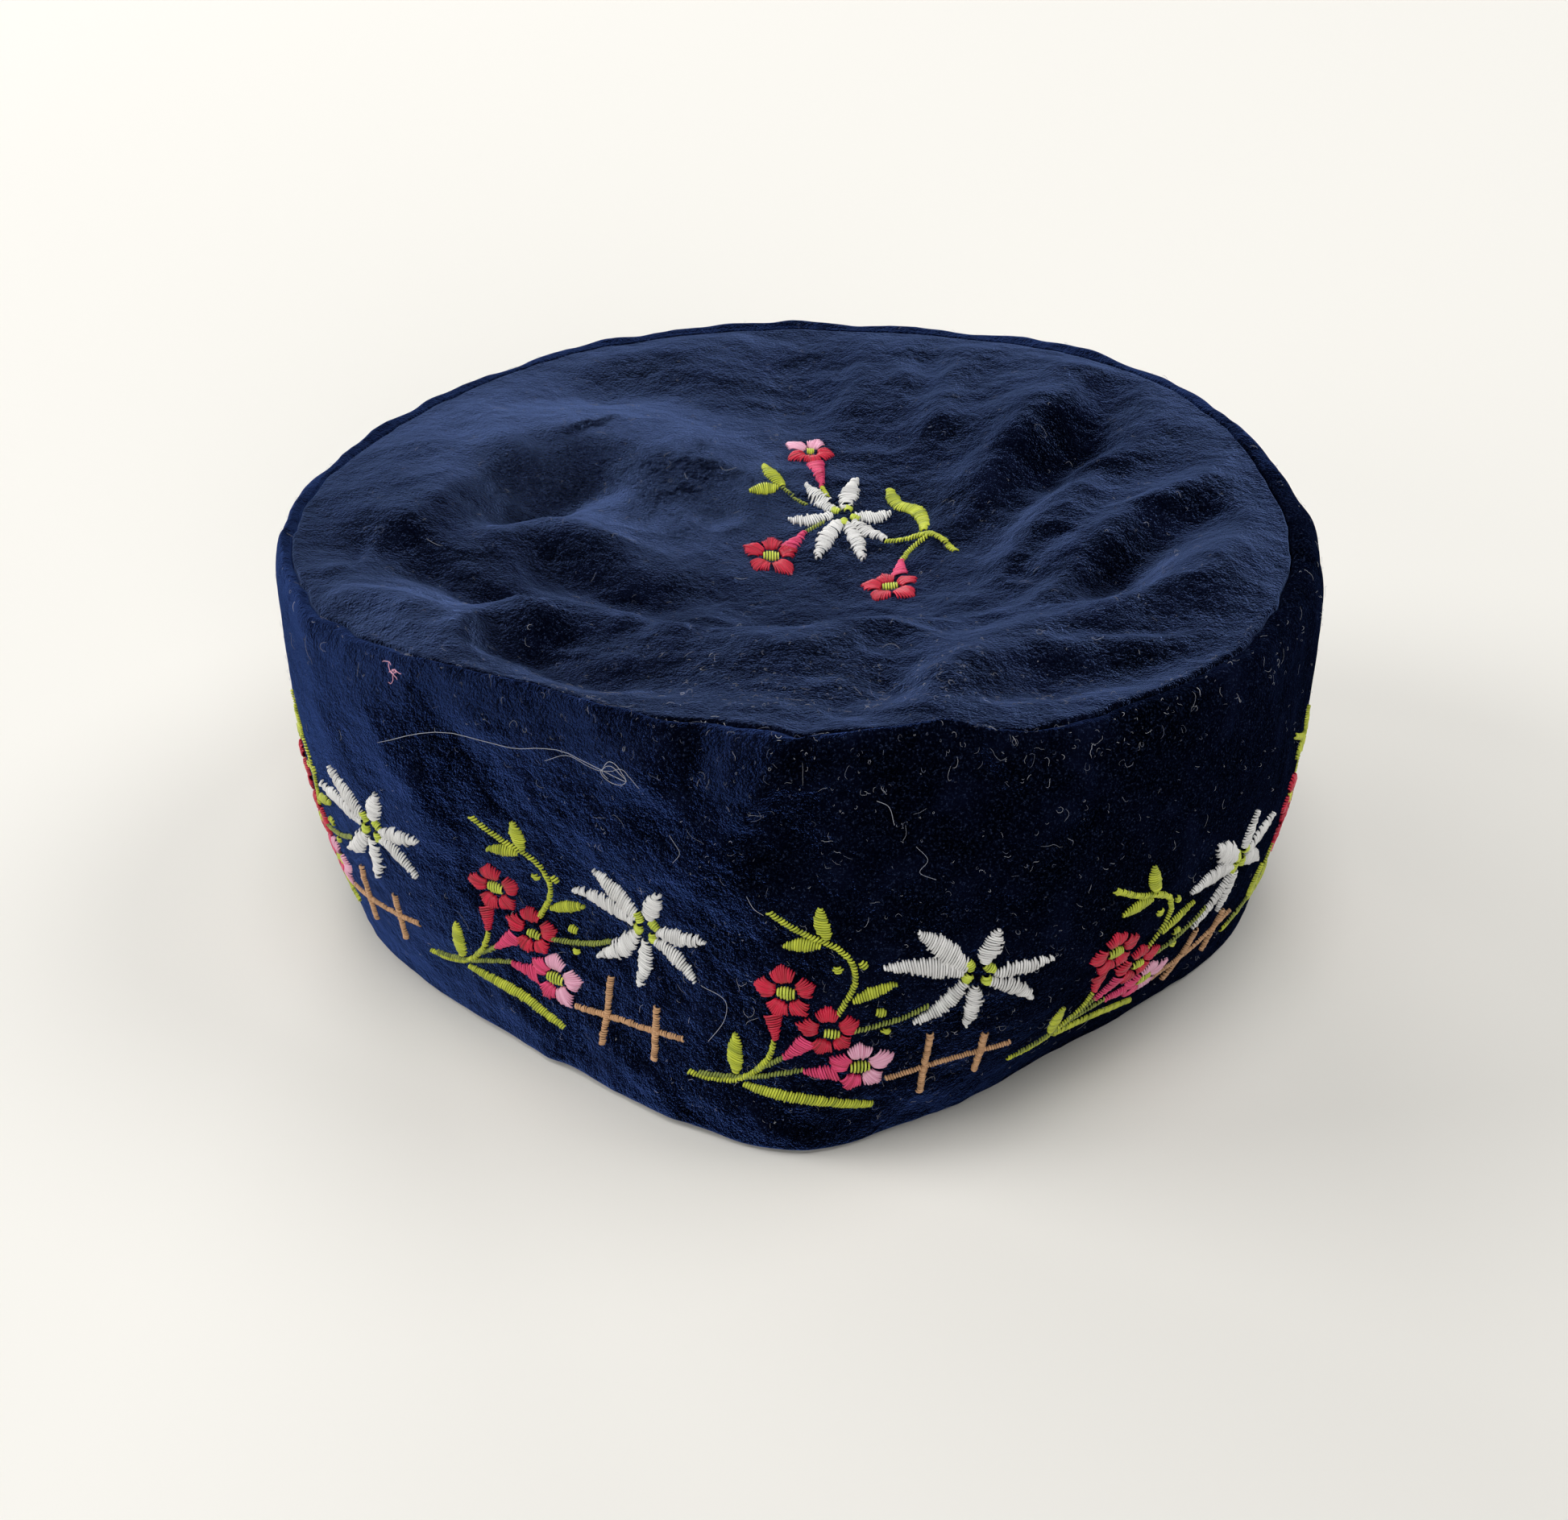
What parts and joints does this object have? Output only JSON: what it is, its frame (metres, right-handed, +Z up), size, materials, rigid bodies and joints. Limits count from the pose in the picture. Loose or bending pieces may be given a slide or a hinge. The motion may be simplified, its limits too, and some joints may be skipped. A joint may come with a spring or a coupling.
{
  "type": "embroidered brimless cap",
  "caption": "Soft round velvet cap without a brim: an upright side band embroidered with mountain flowers and fences, and a round crown that sags into a basin.",
  "frame": {"origin": "middle of the cap's footprint, on the surface that its hem rests on", "axes": "+Z up from the hem to the crown, -Y towards the front crease, +X to the right of someone who looks at the front"},
  "size_m": [0.2152, 0.2074, 0.0862],
  "materials": {
    "velvet": "short dark navy velvet pile, near black where it faces the eye and blue grey at grazing angles",
    "interlining": "unbleached woven canvas, hidden",
    "lining": "smooth dark satin lining",
    "sweatband": "ribbed dark ribbon",
    "cream_thread": "glossy off-white satin stitch",
    "green_thread": "glossy lime green satin stitch with darker twisted stems",
    "crimson_thread": "glossy crimson and pink satin stitch",
    "pink_thread": "glossy light pink satin stitch",
    "tan_thread": "tan satin stitch"
  },
  "bodies": {
    "root": {"side_band": "velvet", "crown_top": "velvet", "band_interlining": "interlining", "band_lining": "lining", "crown_lining": "lining", "sweatband": "sweatband", "stem_spray_01": "green_thread", "blossoms_01": "crimson_thread", "edelweiss_01": "cream_thread", "fence_01": "tan_thread", "stem_spray_02": "green_thread", "blossoms_02": "crimson_thread", "edelweiss_02": "cream_thread", "fence_02": "tan_thread", "stem_spray_03": "green_thread", "blossoms_03": "crimson_thread", "edelweiss_03": "cream_thread", "fence_03": "tan_thread", "stem_spray_04": "green_thread", "blossoms_04": "crimson_thread", "edelweiss_04": "cream_thread", "fence_04": "tan_thread", "stem_spray_05": "green_thread", "blossoms_05": "crimson_thread", "edelweiss_05": "cream_thread", "fence_05": "tan_thread", "stem_spray_06": "green_thread", "blossoms_06": "crimson_thread", "edelweiss_06": "cream_thread", "fence_06": "tan_thread", "stem_spray_07": "green_thread", "blossoms_07": "crimson_thread", "edelweiss_07": "cream_thread", "fence_07": "tan_thread", "stem_spray_08": "green_thread", "blossoms_08": "crimson_thread", "edelweiss_08": "cream_thread", "fence_08": "tan_thread", "stem_spray_09": "green_thread", "blossoms_09": "crimson_thread", "edelweiss_09": "cream_thread", "fence_09": "tan_thread", "stem_spray_10": "green_thread", "blossoms_10": "crimson_thread", "edelweiss_10": "cream_thread", "fence_10": "tan_thread", "crown_edelweiss": "cream_thread", "crown_blossom_left": "crimson_thread", "crown_blossom_right": "crimson_thread", "crown_bellflower": "pink_thread", "crown_sprig_left": "green_thread", "crown_sprig_right": "green_thread"}
  },
  "joints": []
}
